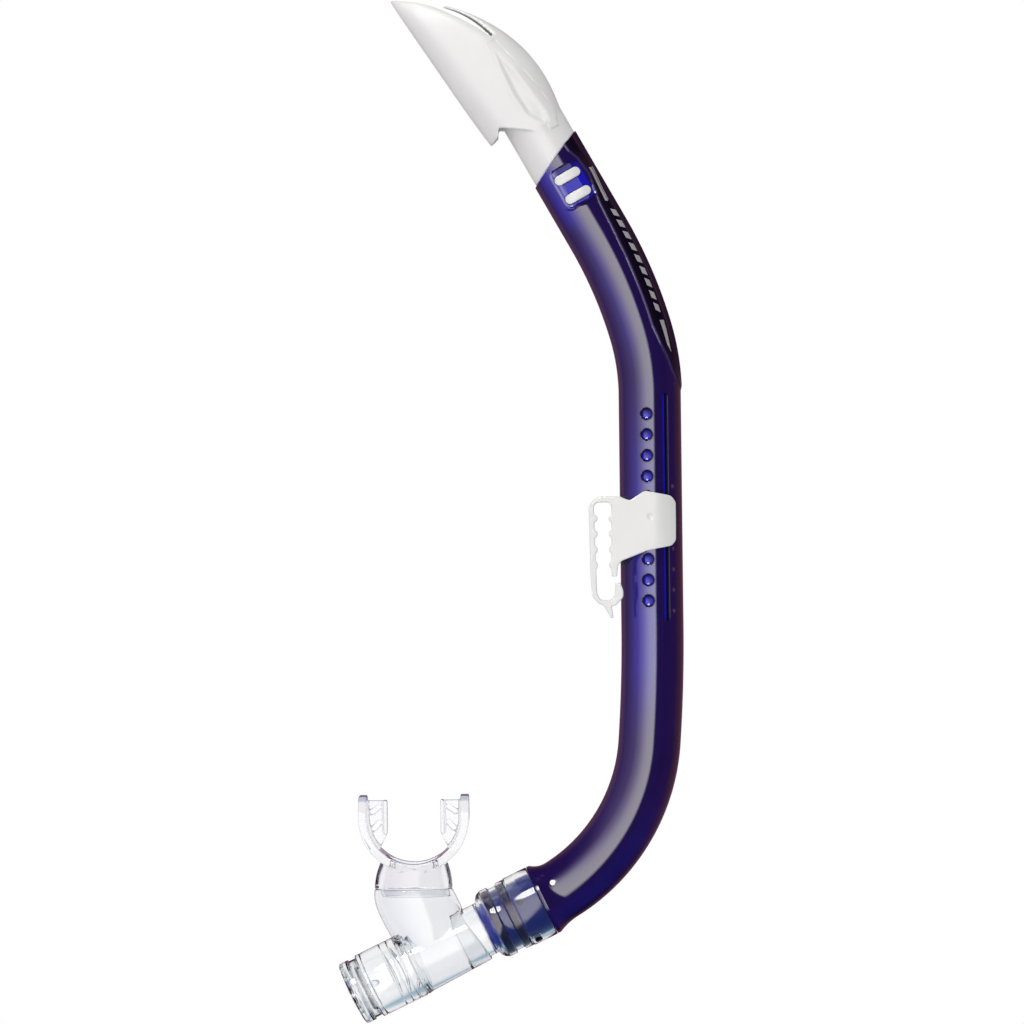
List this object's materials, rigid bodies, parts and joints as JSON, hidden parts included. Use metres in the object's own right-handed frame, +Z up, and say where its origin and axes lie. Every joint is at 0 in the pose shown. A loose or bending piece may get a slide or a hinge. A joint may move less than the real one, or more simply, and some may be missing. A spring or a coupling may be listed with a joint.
{
  "type": "snorkel tube",
  "caption": "J-shaped snorkel: bent tube with splash guard, sliding strap keeper, swivelling mouthpiece chamber and purge valve.",
  "frame": {"origin": "centre of the keeper's strap loop, in the middle of the plate's thickness", "axes": "+Z up along the straight stretch of the barrel, +X from the strap loop to the barrel, +Y from the loop's outer face to its back"},
  "size_m": [0.1534, 0.0344, 0.4494],
  "materials": {
    "barrel_plastic": "tinted deep blue translucent, glossy, printed at the back of the top bend",
    "white_plastic": "white, fine satin moulding",
    "clear_plastic": "clear, polished",
    "clear_silicone": "clear silicone, glossy, slightly cloudy",
    "seal_rubber": "dark blue-black seal rubber"
  },
  "bodies": {
    "keeper": {"keeper": "white_plastic"},
    "barrel": {"barrel": "barrel_plastic", "splash_guard": "white_plastic"},
    "mouth_unit": {"coupling": "clear_plastic", "swivel_seals": "seal_rubber", "chamber": "clear_silicone", "mouthpiece": "clear_silicone", "purge_housing": "clear_plastic", "purge_seat": "clear_plastic", "purge_cover": "clear_plastic"},
    "purge_flap": {"purge_valve": "clear_silicone"}
  },
  "joints": [
    {"name": "keeper_slide", "type": "slide", "parent": "keeper", "child": "barrel", "axis": [0, 0, -1], "range_m": [-0.0363, 0.0454]},
    {"name": "mouthpiece_swivel", "type": "hinge", "parent": "barrel", "child": "mouth_unit", "pos_m": [-0.02832, 0.0156, -0.15332], "axis": [-0.9009, 0, -0.434], "continuous": true},
    {"name": "purge_flap_lift", "type": "slide", "parent": "mouth_unit", "child": "purge_flap", "axis": [-0.9009, 0, -0.434], "range_m": [0, 0.0015], "stiffness_N_per_m": 85, "springref_m": -0.0005}
  ]
}
